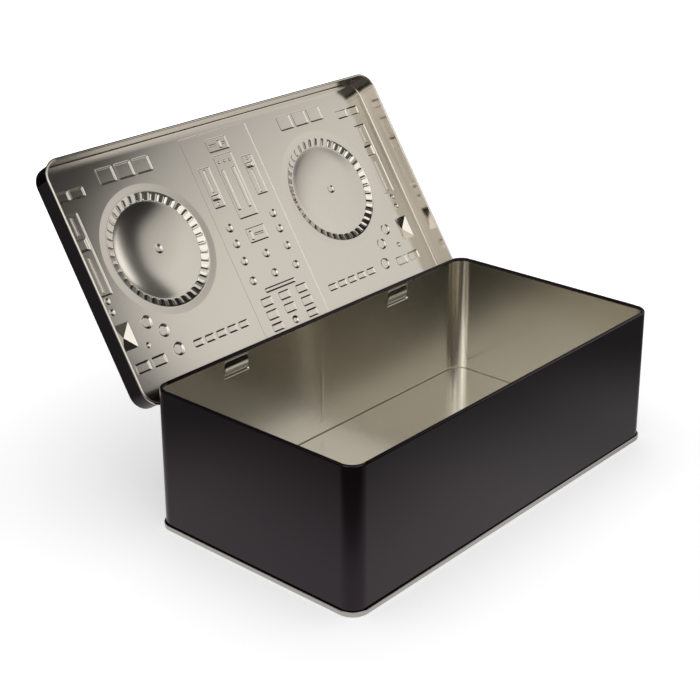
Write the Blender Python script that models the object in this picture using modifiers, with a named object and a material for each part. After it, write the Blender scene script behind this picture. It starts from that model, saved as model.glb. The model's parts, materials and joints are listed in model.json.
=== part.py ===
"""Hinged rectangular gift tin with its lid standing open.

A seamed body with a rolled rim, a bottom that is double-seamed onto it, and a slip lid. Two straps are
lanced out of the body's rear wall and looped round the lid's rolled edge, which is the hinge pin. The
lid's panel is stamped with the figure of a two-deck mixing desk: everything stands out of its top and is
hollow from inside. Metres, +Z up, +X along the long side, +Y towards the hinge. The pieces are drawn about
the middle of the body, in the plane that the tin stands on, and the whole is then set so that the origin
is under the middle of the open tin. Each piece is one sheet, drawn as its middle surface and then given
its gauge.
"""
import math

import bmesh
import bpy
from mathutils import Vector
from mathutils.geometry import delaunay_2d_cdt

MM = 0.001

# Sheet and clearances
sheet = 0.30 * MM
seat_gap = 0.30 * MM
half_sheet = sheet / 2

# Body
body_length = 300.0 * MM
body_width = 159.1 * MM
body_height = 93.7 * MM
corner_radius = 10.3 * MM
rim_radius = 1.22 * MM
rim_turn = math.radians(290)
side_seam_width = 3.0 * MM
side_seam_proud = 0.15 * MM
side_seam_inset = 3.5 * MM

# Bottom and its double seam
seam_height = 3.2 * MM
floor_height = 6.5 * MM
floor_bend = 0.6 * MM
seam_bend = 0.4 * MM
seam_lip_bend = 0.3 * MM

# Lid
skirt_gap = 0.65 * MM
lid_depth = 16.1 * MM
lid_rest_gap = 0.4 * MM
bead_radius = 0.8 * MM
bead_turn = math.radians(270)
lid_bend = 1.0 * MM
border_width = 5.0 * MM
border_rise = 0.3 * MM
open_angle = math.radians(122.8)

# Hinge straps, their windows in the wall and the slots in the lid's skirt
hinge_spread = 79.5 * MM
strap_width = 21.8 * MM
strap_taper = 0.9 * MM
strap_slit = 0.3 * MM
strap_gap = 0.3 * MM
neck_angle = math.radians(57.3)
root_flat = 0.3 * MM
tongue_height = 4.7 * MM
tongue_lean = 0.6 * MM
tongue_corner = 0.9 * MM
window_rise = 3.6 * MM
slot_foot = 0.2 * MM
slot_height = 2.1 * MM
slot_side_gap = 0.4 * MM

# Stamped figure: depths and drafts
strip_depth = 0.4 * MM
pad_depth = 0.7 * MM
frame_depth = 0.5 * MM
knob_depth = 0.8 * MM
facet_depth = 2.6 * MM
platter_margin_depth = 0.3 * MM
platter_depth = 2.0 * MM
platter_crown = 1.6 * MM
ridge_depth = 0.45 * MM
draft_run = 0.35 * MM
ridge_count = 40

# Steps of the facets
corner_steps = 6
bend_steps = 2
roll_steps = 8
bead_steps = 6
loop_steps = 12
neck_steps = 4
knob_steps = 10
dish_steps = 36

# What follows from the sizes
rim_roll = rim_radius - half_sheet
bead_roll = bead_radius - half_sheet
hook_pitch = sheet + seat_gap
seam_proud = 2 * hook_pitch
lid_overhang = skirt_gap + sheet
lid_length = body_length + 2 * lid_overhang
lid_width = body_width + 2 * lid_overhang
lid_corner = corner_radius + lid_overhang
axis_y = body_width / 2 + skirt_gap + half_sheet + bead_roll
axis_z = body_height + lid_rest_gap + sheet - lid_depth + bead_radius
wall_y = body_width / 2 - half_sheet
loop_radius = bead_radius + strap_gap + half_sheet
neck_reach = axis_y - wall_y
neck_radius = (neck_reach - loop_radius * math.cos(neck_angle)) / (1 + math.cos(neck_angle))
neck_rise = (neck_radius + loop_radius) * math.sin(neck_angle)
root_z = axis_z - neck_rise - root_flat
tongue_top_z = axis_z + neck_rise + tongue_height
window_top_z = tongue_top_z + window_rise
panel_z = body_height + lid_rest_gap + half_sheet
open_back_y = axis_y + lid_bend + half_sheet
open_back_y -= (axis_y + lid_width / 2 - half_sheet - lid_bend) * math.cos(open_angle)
open_back_y += (panel_z - lid_bend - axis_z) * math.sin(open_angle)
middle_y = (open_back_y - body_width / 2 - seam_proud) / 2
field_inset = border_width + half_sheet
figure_reach_shares = (0.965, 0.499)
figure_size = min(
    (lid_length / 2 - field_inset) / figure_reach_shares[0],
    (lid_width / 2 - field_inset) / figure_reach_shares[1],
)


def clear_scene():
    for item in list(bpy.data.objects):
        bpy.data.objects.remove(item, do_unlink=True)


def make_collection(name):
    collection = bpy.data.collections.new(name)
    bpy.context.scene.collection.children.link(collection)
    return collection


def make_material(name, colour, roughness, metallic):
    material = bpy.data.materials.new(name)
    material.use_nodes = True
    shader = material.node_tree.nodes["Principled BSDF"]
    shader.inputs["Base Color"].default_value = (*colour, 1)
    shader.inputs["Roughness"].default_value = roughness
    shader.inputs["Metallic"].default_value = metallic
    return material


def make_object(name, bm, collection, material=None):
    mesh = bpy.data.meshes.new(name)
    bm.to_mesh(mesh)
    bm.free()
    item = bpy.data.objects.new(name, mesh)
    collection.objects.link(item)
    if material:
        mesh.materials.append(material)
    return item


def arc(centre, radius, start, end, steps):
    """Points of an arc in a section, as (offset, height) pairs."""
    turns = [start + (end - start) * k / steps for k in range(steps + 1)]
    return [(centre[0] + radius * math.cos(a), centre[1] + radius * math.sin(a)) for a in turns]


def make_ring(bm, points):
    return [bm.verts.new(p) for p in points]


def loft(bm, low, high):
    """Joins two rings that have the same number of vertices, in the same order."""
    for k in range(len(low)):
        bm.faces.new((low[k - 1], low[k], high[k], high[k - 1]))


def rounded_ring(bm, length, width, radius, offset, centre_y, height):
    """The outline of a rounded rectangle, moved out by an offset, at a height."""
    points = []
    reach_x = length / 2 - radius
    reach_y = width / 2 - radius
    for k, (sx, sy) in enumerate(((1, 1), (-1, 1), (-1, -1), (1, -1))):
        for step in range(corner_steps + 1):
            a = math.pi / 2 * (k + step / corner_steps)
            x = sx * reach_x + (radius + offset) * math.cos(a)
            y = sy * reach_y + (radius + offset) * math.sin(a)
            points.append((x, centre_y + y, height))
    return make_ring(bm, points)


def sweep_round(bm, length, width, radius, centre_y, section):
    """Draws a section round a rounded rectangle; gives its rings in the section's order."""
    rings = [rounded_ring(bm, length, width, radius, o, centre_y, z) for o, z in section]
    for low, high in zip(rings, rings[1:]):
        loft(bm, low, high)
    return rings


def rear_patch(bm, y):
    """The largest face that lies in the plane of a rear wall."""
    faces = [f for f in bm.faces if all(abs(v.co.y - y) < half_sheet / 10 for v in f.verts)]
    return [max(faces, key=lambda face: face.calc_area())]


def split_patch(bm, patch, cuts):
    """Cuts a flat patch along planes, each given as a point and a normal."""
    for point, normal in cuts:
        geom = set(patch)
        for face in patch:
            geom.update(face.edges)
            geom.update(face.verts)
        near = half_sheet / 1000
        done = bmesh.ops.bisect_plane(bm, geom=list(geom), plane_co=point, plane_no=normal, dist=near)
        patch = [g for g in done["geom"] if isinstance(g, bmesh.types.BMFace)]
    return patch


def faces_between(patch, x0, x1, z0, z1):
    """The faces of a patch whose middles lie in a window."""
    found = []
    for face in patch:
        middle = face.calc_center_median()
        if x0 < middle.x < x1 and z0 < middle.z < z1:
            found.append(face)
    return found


def give_gauge(item):
    solidify = item.modifiers.new("gauge", "SOLIDIFY")
    solidify.thickness = sheet
    solidify.offset = 0
    solidify.use_even_offset = True
    solidify.use_quality_normals = True


def smooth(item, angle):
    item.data.shade_smooth()
    item.data.set_sharp_from_angle(angle=angle)


def wall_section():
    """Rolled rim, wall, and the hook that the bottom's seam holds."""
    rim = (-half_sheet - rim_roll, body_height - rim_radius)
    hook = (-half_sheet + hook_pitch / 2, sheet + seat_gap + half_sheet + hook_pitch / 2)
    section = arc(rim, rim_roll, rim_turn, 0, roll_steps)
    section += arc(hook, hook_pitch / 2, math.pi, 2 * math.pi, 2 * bend_steps)
    section.append((-half_sheet + hook_pitch, seam_height - sheet - seat_gap))
    return section


def strap_path():
    """Middle line of a strap from its root: up the wall, out round the lid's bead, back and up."""
    low = (wall_y + neck_radius, axis_z - neck_rise)
    high = (wall_y + neck_radius, axis_z + neck_rise)
    axis = (axis_y, axis_z)
    path = [(wall_y, root_z)]
    path += arc(low, neck_radius, math.pi, neck_angle, neck_steps)
    path += arc(axis, loop_radius, math.pi + neck_angle, 3 * math.pi - neck_angle, loop_steps)[1:]
    path += arc(high, neck_radius, 2 * math.pi - neck_angle, math.pi, neck_steps)[1:]
    path.append((wall_y - tongue_lean / 3, axis_z + neck_rise + tongue_height / 2))
    corner_lean = tongue_lean * (1 - tongue_corner / tongue_height)
    path.append((wall_y - corner_lean, tongue_top_z - tongue_corner))
    path.append((wall_y - tongue_lean, tongue_top_z))
    return path


def draw_strap(bm, middle_x):
    """Bends a strap out of the lower edge of its window; its tongue ends in cut corners."""
    path = strap_path()
    lengths = [math.dist(a, b) for a, b in zip(path, path[1:])]
    reach = sum(lengths)
    edge = None
    near = half_sheet / 10
    for e in bm.edges:
        if all(abs(v.co.z - root_z) < near and abs(v.co.y - wall_y) < near for v in e.verts):
            ends = sorted(v.co.x - middle_x for v in e.verts)
            if abs(ends[0] + strap_width / 2) < half_sheet and abs(ends[1] - strap_width / 2) < half_sheet:
                edge = e
    run = 0
    for (y, z), step in zip(path[1:], lengths):
        run += step
        half = strap_width / 2 - strap_taper * run / reach
        if (y, z) == path[-1]:
            half -= tongue_corner
        grown = bmesh.ops.extrude_edge_only(bm, edges=[edge])["geom"]
        edge = [g for g in grown if isinstance(g, bmesh.types.BMEdge)][0]
        for vert in edge.verts:
            vert.co = Vector((middle_x + math.copysign(half, vert.co.x - middle_x), y, z))


def build_body(collection, cutters, material):
    bm = bmesh.new()
    sweep_round(bm, body_length, body_width, corner_radius, 0, wall_section())
    patch = rear_patch(bm, wall_y)
    across = Vector((1, 0, 0))
    up = Vector((0, 0, 1))
    half_strap = strap_width / 2
    half_window = half_strap + strap_slit
    middles = (-hinge_spread, hinge_spread)
    cuts = [(Vector((0, 0, z)), up) for z in (root_z, window_top_z)]
    for middle in middles:
        for side in (-half_window, -half_strap, half_strap, half_window):
            cuts.append((Vector((middle + side, 0, 0)), across))
    patch = split_patch(bm, patch, cuts)
    for middle in middles:
        opening = faces_between(patch, middle - half_window, middle + half_window, root_z, window_top_z)
        top = {v for f in opening for v in f.verts if abs(v.co.z - window_top_z) < half_sheet / 10}
        patch = [f for f in patch if f not in opening]
        bmesh.ops.delete(bm, geom=opening, context="FACES")
        for vert in top:
            vert.co.x = middle + (vert.co.x - middle) * (1 - strap_taper / half_window)
        draw_strap(bm, middle)
    bmesh.ops.recalc_face_normals(bm, faces=bm.faces)
    body = make_object("body_wall", bm, collection, material)
    give_gauge(body)

    band = bmesh.new()
    bmesh.ops.create_cube(band, size=1)
    low = floor_height + side_seam_inset
    high = body_height - 2 * rim_radius - side_seam_inset
    depth = side_seam_proud + half_sheet
    bmesh.ops.scale(band, vec=(side_seam_width, depth, high - low), verts=band.verts)
    bmesh.ops.translate(band, vec=(0, wall_y - depth / 2, (low + high) / 2), verts=band.verts)
    seam = make_object("side_seam_band", band, cutters)
    seam.hide_render = True
    seam.display_type = "WIRE"
    join = body.modifiers.new("side_seam", "BOOLEAN")
    join.operation = "UNION"
    join.solver = "EXACT"
    join.object = seam
    smooth(body, math.radians(40))
    return body, seam


def build_bottom(collection, material):
    """Floor panel, the wall that drops inside the body, and the seam rolled up round the body's hook."""
    inner = -sheet - seat_gap - half_sheet
    outer = seam_proud - half_sheet
    floor = floor_height - half_sheet
    top = seam_height - half_sheet
    section = arc((inner - floor_bend, floor - floor_bend), floor_bend, math.pi / 2, 0, bend_steps)
    foot = half_sheet + seam_bend
    section += arc((inner + seam_bend, foot), seam_bend, math.pi, 3 * math.pi / 2, bend_steps)
    section += arc((outer - seam_bend, foot), seam_bend, -math.pi / 2, 0, bend_steps)
    section += arc((outer - seam_lip_bend, top - seam_lip_bend), seam_lip_bend, 0, math.pi / 2, bend_steps)
    section.append((seat_gap, top))
    bm = bmesh.new()
    rings = sweep_round(bm, body_length, body_width, corner_radius, 0, section)
    bmesh.ops.contextual_create(bm, geom=rings[0])
    bmesh.ops.recalc_face_normals(bm, faces=bm.faces)
    bottom = make_object("bottom_plate", bm, collection, material)
    give_gauge(bottom)
    smooth(bottom, math.radians(50))
    return bottom


# Places and half sizes are shares of the figure's size, from the panel's middle: along the long side,
# and towards the free edge.
platter_place_shares = (0.546, 0.070)
platter_margin_share = 0.293
platter_shoulder_share = 0.262
platter_outer_share = 0.258
platter_inner_share = 0.222
dish_edge_share = 0.216
dish_ring_shares = (0.192, 0.165, 0.132, 0.090)
spindle_share = 0.020
deck_pad_shares = (
    (0.444, 0.435, 0.044, 0.035),
    (0.546, 0.435, 0.044, 0.035),
    (0.648, 0.435, 0.044, 0.035),
    (0.823, 0.397, 0.0365, 0.021),
    (0.903, 0.397, 0.0365, 0.021),
    (0.785, -0.369, 0.0365, 0.0215),
    (0.874, -0.369, 0.0365, 0.0215),
)
cue_pad_shares = (0.291, 0.358, 0.425, 0.492, 0.560)
cue_row_share = -0.362
cue_pad_half_shares = (0.026, 0.016)
pitch_frame_shares = (0.901, 0.139, 0.0365, 0.182)
pitch_cap_shares = (0.901, 0.185, 0.027, 0.027)
pitch_rail_shares = ((0.901, 0.050, 0.006, 0.080), (0.901, 0.267, 0.006, 0.042))
deck_knob_shares = (
    (0.906, -0.066, 0.0133),
    (0.906, -0.115, 0.0133),
    (0.767, -0.202, 0.028),
    (0.702, -0.260, 0.028),
    (0.808, -0.293, 0.012),
    (0.669, -0.354, 0.0285),
)
facet_shares = (0.894, -0.228, 0.040, 0.056)
facet_tip_share = 0.003
strip_shares = (0, 0.008, 0.2065, 0.485)
channel_place_share = 0.134
channel_frame_shares = (0.248, 0.033, 0.096)
channel_rail_share = 0.006
channel_cap_shares = (0.025, 0.014)
channel_cap_place_shares = (0.202, 0.298)
meter_frame_shares = (0, 0.227, 0.058, 0.154)
meter_slot_shares = ((-0.033, 0.214, 0.010, 0.099), (0.033, 0.214, 0.010, 0.099))
meter_dot_shares = ((-0.033, 0.348), (0, 0.348), (0.033, 0.348))
meter_dot_share = 0.007
master_frame_shares = (0, 0.429, 0.063, 0.0315)
master_rail_shares = ((-0.026, 0.429, 0.022, 0.005), (0.043, 0.429, 0.012, 0.005))
master_cap_shares = (0.0165, 0.429, 0.009, 0.020)
cross_frame_shares = (0, -0.010, 0.058, 0.035)
cross_cap_shares = (-0.0315, -0.010, 0.009, 0.022)
cross_rail_shares = ((0.014, -0.010, 0.030, 0.005),)
strip_knob_place_shares = (-0.138, 0, 0.138)
strip_knob_row_shares = ((0.053, (0, 2)), (-0.023, (0, 2)), (-0.107, (0, 1, 2)), (-0.202, (0, 1, 2)))
strip_knob_share = 0.020
strip_bar_shares = (0, -0.264, 0.096, 0.011)
strip_pad_column_shares = (-0.112, 0, 0.112)
strip_pad_row_shares = ((-0.311, 0.020), (-0.373, 0.0215), (-0.432, 0.018))
strip_pad_half_share = 0.033


def box_outline(shares, inset):
    u, w, half_u, half_w = (s * figure_size for s in shares)
    a = half_u - inset
    b = half_w - inset
    return [(u - a, w - b), (u + a, w - b), (u + a, w + b), (u - a, w + b)]


def round_outline(shares, radius, steps):
    u, w = (s * figure_size for s in shares)
    turns = [2 * math.pi * k / steps for k in range(steps)]
    return [(u + radius * math.cos(a), w + radius * math.sin(a)) for a in turns]


def flat_loop(outline, depth):
    return [(u, w, depth) for u, w in outline]


def box_stamp(shares, depth, inner=()):
    """A rectangle pressed out with a draft; a feature is its loops and the features inside the last."""
    return [flat_loop(box_outline(shares, 0), 0), flat_loop(box_outline(shares, draft_run), depth)], inner


def round_stamp(place, share, depth):
    radius = share * figure_size
    base = round_outline(place, radius, knob_steps)
    top = round_outline(place, radius - draft_run, knob_steps)
    return [flat_loop(base, 0), flat_loop(top, depth)], ()


def facet_stamp(shares):
    """Four facets that meet almost in a point."""
    tip = (shares[0], shares[1], facet_tip_share, facet_tip_share)
    return [flat_loop(box_outline(shares, 0), 0), flat_loop(box_outline(tip, 0), facet_depth)], ()


def platter_stamp(place):
    """Shallow conical margin, ridged flank, a dish that crowns back up, and a spindle."""
    outer = platter_outer_share * figure_size
    inner = platter_inner_share * figure_size
    steps = 3 * ridge_count
    flank = []
    for share, ridged in ((0, 0), (0.14, 1), (0.86, 1), (1, 0)):
        loop = []
        outline = round_outline(place, outer + (inner - outer) * share, steps)
        for k, (u, w) in enumerate(outline):
            lift = ridge_depth * ridged if k % 3 == 1 else 0
            loop.append((u, w, platter_depth * share + lift))
        flank.append(loop)
    spindle = round_stamp(place, spindle_share, knob_depth)
    dish = [flat_loop(round_outline(place, dish_edge_share * figure_size, dish_steps), 0)]
    for share in dish_ring_shares:
        outline = round_outline(place, share * figure_size, dish_steps)
        dish.append(flat_loop(outline, -platter_crown * (1 - (share / dish_edge_share) ** 3)))
    edge = round_outline(place, platter_margin_share * figure_size, dish_steps)
    shoulder = round_outline(place, platter_shoulder_share * figure_size, dish_steps)
    margin = [flat_loop(edge, 0), flat_loop(shoulder, platter_margin_depth)]
    return margin, [(flank, [(dish, [spindle])])]


def mirrored(feature):
    loops, inner = feature
    return [[(-u, w, d) for u, w, d in loop] for loop in loops], [mirrored(f) for f in inner]


def deck_features():
    """One deck, on the side of +X."""
    features = [platter_stamp(platter_place_shares), facet_stamp(facet_shares)]
    features += [box_stamp(shares, pad_depth) for shares in deck_pad_shares]
    for place in cue_pad_shares:
        features.append(box_stamp((place, cue_row_share, *cue_pad_half_shares), pad_depth))
    features += [round_stamp(shares[:2], shares[2], knob_depth) for shares in deck_knob_shares]
    pitch = [box_stamp(pitch_cap_shares, frame_depth)]
    pitch += [box_stamp(shares, -frame_depth) for shares in pitch_rail_shares]
    features.append(box_stamp(pitch_frame_shares, frame_depth, pitch))
    return features


def channel_stamp(side, cap_share):
    """A fader of the middle strip: frame, rail in two lengths and the cap between them."""
    u = side * channel_place_share
    middle, half_u, half_w = channel_frame_shares
    cap_half_u, cap_half_w = channel_cap_shares
    clear = draft_run * 3 / figure_size
    inner = [box_stamp((u, cap_share, cap_half_u, cap_half_w), frame_depth)]
    low = middle - half_w + clear
    high = middle + half_w - clear
    for start, end in ((low, cap_share - cap_half_w - clear), (cap_share + cap_half_w + clear, high)):
        inner.append(box_stamp((u, (start + end) / 2, channel_rail_share, (end - start) / 2), -frame_depth))
    return box_stamp((u, middle, half_u, half_w), frame_depth, inner)


def strip_features():
    """What stands in the middle strip."""
    features = [channel_stamp(side, cap) for side, cap in zip((-1, 1), channel_cap_place_shares)]
    meter = [box_stamp(shares, frame_depth) for shares in meter_slot_shares]
    meter += [round_stamp(place, meter_dot_share, frame_depth) for place in meter_dot_shares]
    features.append(box_stamp(meter_frame_shares, frame_depth, meter))
    master = [box_stamp(master_cap_shares, frame_depth)]
    master += [box_stamp(shares, -frame_depth) for shares in master_rail_shares]
    features.append(box_stamp(master_frame_shares, frame_depth, master))
    cross = [box_stamp(cross_cap_shares, frame_depth)]
    cross += [box_stamp(shares, -frame_depth) for shares in cross_rail_shares]
    features.append(box_stamp(cross_frame_shares, frame_depth, cross))
    for row, columns in strip_knob_row_shares:
        for column in columns:
            features.append(round_stamp((strip_knob_place_shares[column], row), strip_knob_share, knob_depth))
    features.append(box_stamp(strip_bar_shares, pad_depth))
    for k, (row, half) in enumerate(strip_pad_row_shares):
        for column in strip_pad_column_shares:
            if k == 2 and column == 0:
                features.append(round_stamp((column, row), half, pad_depth))
            else:
                features.append(box_stamp((column, row, strip_pad_half_share, half), pad_depth))
    return features


def ring_area(ring):
    """Twice the signed area of a flat ring of vertices."""
    return sum(a.co.x * b.co.y - b.co.x * a.co.y for a, b in zip(ring, ring[1:] + ring[:1]))


def fill_sheet(bm, outer, holes):
    """Covers the flat sheet inside the outer ring and outside the holes with triangles."""
    verts = []
    faces = []
    for ring in [outer] + holes:
        if ring_area(ring) < 0:
            ring = ring[::-1]
        faces.append(list(range(len(verts), len(verts) + len(ring))))
        verts += ring
    flat = [vert.co.xy for vert in verts]
    found = delaunay_2d_cdt(flat, [], faces, 1, half_sheet / 10000)
    for corners, owners in zip(found[2], found[5]):
        if owners == [0]:
            bm.faces.new([verts[found[3][corner][0]] for corner in corners])


def stamp(bm, outer, centre_y, level, features):
    """Fills the sheet inside the outer ring, with each feature pressed out of it."""
    holes = []
    for loops, inner in features:
        before = None
        for loop in loops:
            points = [(u, centre_y - w, level + depth) for u, w, depth in loop]
            current = make_ring(bm, points)
            if before:
                loft(bm, before, current)
            else:
                holes.append(current)
            before = current
        stamp(bm, before, centre_y, level + loops[-1][0][2], inner)
    fill_sheet(bm, outer, holes)


def build_lid(collection, material):
    """Drawn closed, about its hinge axis, and then turned open."""
    centre_y = -axis_y
    top = panel_z - axis_z
    bead = (-half_sheet + bead_roll, 0)
    bend = (-half_sheet - lid_bend, top - lid_bend)
    section = arc(bead, bead_roll, bead_turn - math.pi, -math.pi, bead_steps)
    section += arc(bend, lid_bend, 0, math.pi / 2, bend_steps)
    for share in (0.5, 1):
        reach = lid_bend + (border_width - lid_bend) * share
        section.append((-half_sheet - reach, top + border_rise * (1 - math.cos(math.pi * share)) / 2))
    bm = bmesh.new()
    rings = sweep_round(bm, lid_length, lid_width, lid_corner, centre_y, section)

    skirt_y = centre_y + lid_width / 2 - half_sheet
    patch = rear_patch(bm, skirt_y)
    half_slot = strap_width / 2 + slot_side_gap
    low = slot_foot
    high = slot_foot + slot_height
    cuts = [(Vector((0, 0, z)), Vector((0, 0, 1))) for z in (low, high)]
    middles = (-hinge_spread, hinge_spread)
    for middle in middles:
        for side in (-half_slot, half_slot):
            cuts.append((Vector((middle + side, 0, 0)), Vector((1, 0, 0))))
    patch = split_patch(bm, patch, cuts)
    for middle in middles:
        opening = faces_between(patch, middle - half_slot, middle + half_slot, low, high)
        patch = [f for f in patch if f not in opening]
        bmesh.ops.delete(bm, geom=opening, context="FACES")

    deck = deck_features()
    features = deck + [mirrored(f) for f in deck]
    features.append(box_stamp(strip_shares, strip_depth, strip_features()))
    stamp(bm, rings[-1], centre_y, top + border_rise, features)
    bmesh.ops.recalc_face_normals(bm, faces=bm.faces)
    lid = make_object("lid", bm, collection, material)
    give_gauge(lid)
    smooth(lid, math.radians(30))
    return lid


def main():
    clear_scene()
    tin = make_collection("hinged_tin")
    cutters = make_collection("cutters")
    black = make_material("black_lacquer", (0.022, 0.018, 0.022), 0.18, 0.0)
    tinplate = make_material("tinplate", (0.55, 0.53, 0.48), 0.32, 1.0)
    bright = make_material("bright_tinplate", (0.66, 0.64, 0.61), 0.25, 1.0)
    stand = bpy.data.objects.new("stand", None)
    stand.location = (0, -middle_y, 0)
    hinge = bpy.data.objects.new("hinge_axis", None)
    hinge.location = (0, axis_y, axis_z)
    hinge.rotation_euler = (-open_angle, 0, 0)
    body, band = build_body(tin, cutters, black)
    bottom = build_bottom(tin, tinplate)
    lid = build_lid(tin, bright)
    for empty in (stand, hinge):
        tin.objects.link(empty)
    for item in (body, band, bottom, hinge):
        item.parent = stand
    lid.parent = hinge


main()
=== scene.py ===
"""Open hinged tin: the finished surfaces of the body, its seamed bottom and the stamped lid.

Every piece is one sheet of tinplate. It is drawn as the middle surface of the sheet, finely enough for
smooth reflections, and given its gauge by a Solidify modifier whose two sides take different finishes:
gloss black lacquer outside and bare satin tinplate inside.
"""

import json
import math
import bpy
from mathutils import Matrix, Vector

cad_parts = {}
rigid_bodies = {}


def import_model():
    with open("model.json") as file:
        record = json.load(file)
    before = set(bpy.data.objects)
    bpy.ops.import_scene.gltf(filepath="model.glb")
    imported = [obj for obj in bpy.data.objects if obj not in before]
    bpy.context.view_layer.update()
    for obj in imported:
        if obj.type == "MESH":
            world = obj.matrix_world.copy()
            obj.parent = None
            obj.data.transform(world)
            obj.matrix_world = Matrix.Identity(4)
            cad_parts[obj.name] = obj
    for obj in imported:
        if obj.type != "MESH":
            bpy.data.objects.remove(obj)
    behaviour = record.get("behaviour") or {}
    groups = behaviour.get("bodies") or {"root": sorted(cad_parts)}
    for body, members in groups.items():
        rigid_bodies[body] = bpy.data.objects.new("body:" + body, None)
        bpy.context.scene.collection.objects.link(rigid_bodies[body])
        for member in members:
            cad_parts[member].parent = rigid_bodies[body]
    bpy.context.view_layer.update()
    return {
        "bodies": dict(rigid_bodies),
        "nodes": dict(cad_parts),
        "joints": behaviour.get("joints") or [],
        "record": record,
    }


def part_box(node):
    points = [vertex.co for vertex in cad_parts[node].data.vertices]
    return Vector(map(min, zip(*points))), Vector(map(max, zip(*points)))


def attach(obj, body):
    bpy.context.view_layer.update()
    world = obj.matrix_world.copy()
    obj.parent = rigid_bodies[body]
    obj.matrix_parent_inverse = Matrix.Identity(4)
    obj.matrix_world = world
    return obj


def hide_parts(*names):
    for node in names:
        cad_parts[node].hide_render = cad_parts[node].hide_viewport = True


bl_info = {
    "name": "Open Hinged Tin",
    "version": (1, 0, 0),
    "blender": (4, 5, 0),
    "location": "View3D > Sidebar > Tin",
    "description": "Builds a rolled-rim tin with a seamed bottom and a lid stamped with a mixing desk",
    "category": "Object",
}

import bmesh
import bpy
from mathutils import Matrix, Vector
from mathutils.geometry import delaunay_2d_cdt

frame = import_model()
bottom_low, bottom_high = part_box("bottom_plate")
hinge_joint = frame["joints"][0]
hinge_y = hinge_joint["pos_m"][1]
hinge_z = hinge_joint["pos_m"][2]
open_angle = math.radians(hinge_joint["range_deg"][1])
body_middle_y = (bottom_low[1] + bottom_high[1]) / 2


def length(name, description, default):
    return bpy.props.FloatProperty(
        name=name, description=description, default=default, min=0, precision=5, unit="LENGTH"
    )


def amount(name, description, default):
    return bpy.props.FloatProperty(name=name, description=description, default=default, min=0)


def share(name, description, default):
    return bpy.props.FloatProperty(name=name, description=description, default=default, min=0, max=1)


def colour(name, description, default):
    return bpy.props.FloatVectorProperty(
        name=name, description=description, default=default, size=3, min=0, max=1, subtype="COLOR"
    )


def angle(name, description, default):
    return bpy.props.FloatProperty(name=name, description=description, default=default, subtype="ANGLE")


class TinBodySizes(bpy.types.PropertyGroup):
    length: length("Length", "Outside length of the body's wall", 0.300)
    width: length("Width", "Outside width of the body's wall", 0.1591)
    height: length("Height", "Height of the rolled rim above the table", 0.0937)
    corner: length("Corner radius", "Outside radius of the upright corners", 0.0103)
    sheet: length("Sheet", "Gauge of the tinplate", 0.0003)
    seat_gap: length("Seat gap", "Clearance between the layers of the bottom seam", 0.0003)
    rim: length("Rim radius", "Outside radius of the rolled rim", 0.00122)
    rim_turn: angle("Rim turn", "How far round the rim is rolled", math.radians(290))
    pinch: length("Rim pinch", "Depth of the creases where the rim turns a corner", 0.0005)
    crease: length("Crease", "Half width of those creases", 0.0008)
    seam_band: length("Side seam", "Width of the side seam inside the rear wall", 0.003)
    seam_proud: length("Side seam rise", "How far the side seam stands out of the wall", 0.0001)


class TinBottomSizes(bpy.types.PropertyGroup):
    seam_height: length("Seam height", "Height of the double seam", 0.0032)
    floor_height: length("Floor height", "Height of the floor inside the tin", 0.0065)
    floor_bend: length("Floor bend", "Bend between the floor and the wall that drops inside", 0.0006)
    seam_bend: length("Seam bend", "Bend at the foot of the seam", 0.0004)
    lip_bend: length("Lip bend", "Bend at the top of the seam", 0.0003)


class TinLidSizes(bpy.types.PropertyGroup):
    skirt_gap: length("Skirt gap", "Clearance between the skirt and the body", 0.00065)
    rest_gap: length("Rest gap", "Clearance between the closed panel and the rim", 0.0004)
    bead: length("Bead radius", "Outside radius of the rolled edge", 0.0008)
    bend: length("Bend", "Bend between the skirt and the panel", 0.001)
    border: length("Border", "Width of the border that rises to the panel", 0.005)
    border_rise: length("Border rise", "Rise of the panel over its border", 0.00008)


class TinHingeSizes(bpy.types.PropertyGroup):
    spread: length("Spread", "From the middle of the tin to each strap", 0.0795)
    width: length("Strap width", "Width of a strap at its root", 0.0218)
    taper: length("Strap taper", "How much narrower each side is at the tongue's end", 0.0009)
    corner: length("Tongue corner", "Cut corners of the tongue and of its window", 0.0009)
    slit: length("Slit", "Slit on each side of a strap", 0.0003)
    gap: length("Strap gap", "Clearance between a strap and the rolled edge", 0.0003)
    neck: angle("Neck angle", "Where the strap leaves its neck for the loop", math.radians(57.3))
    tongue: length("Tongue height", "Upright end of the strap", 0.0047)
    lean: length("Tongue lean", "How far the tongue's end leans into the tin", 0.0006)
    window: length("Window rise", "From the tongue's end to the top of its window", 0.0036)
    slot_foot: length("Slot foot", "From the hinge axis to the foot of the slot", 0.0002)
    slot_height: length("Slot height", "Height of the slots in the skirt", 0.0021)
    slot_gap: length("Slot side gap", "Clearance beside a strap in its slot", 0.0004)


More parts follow.
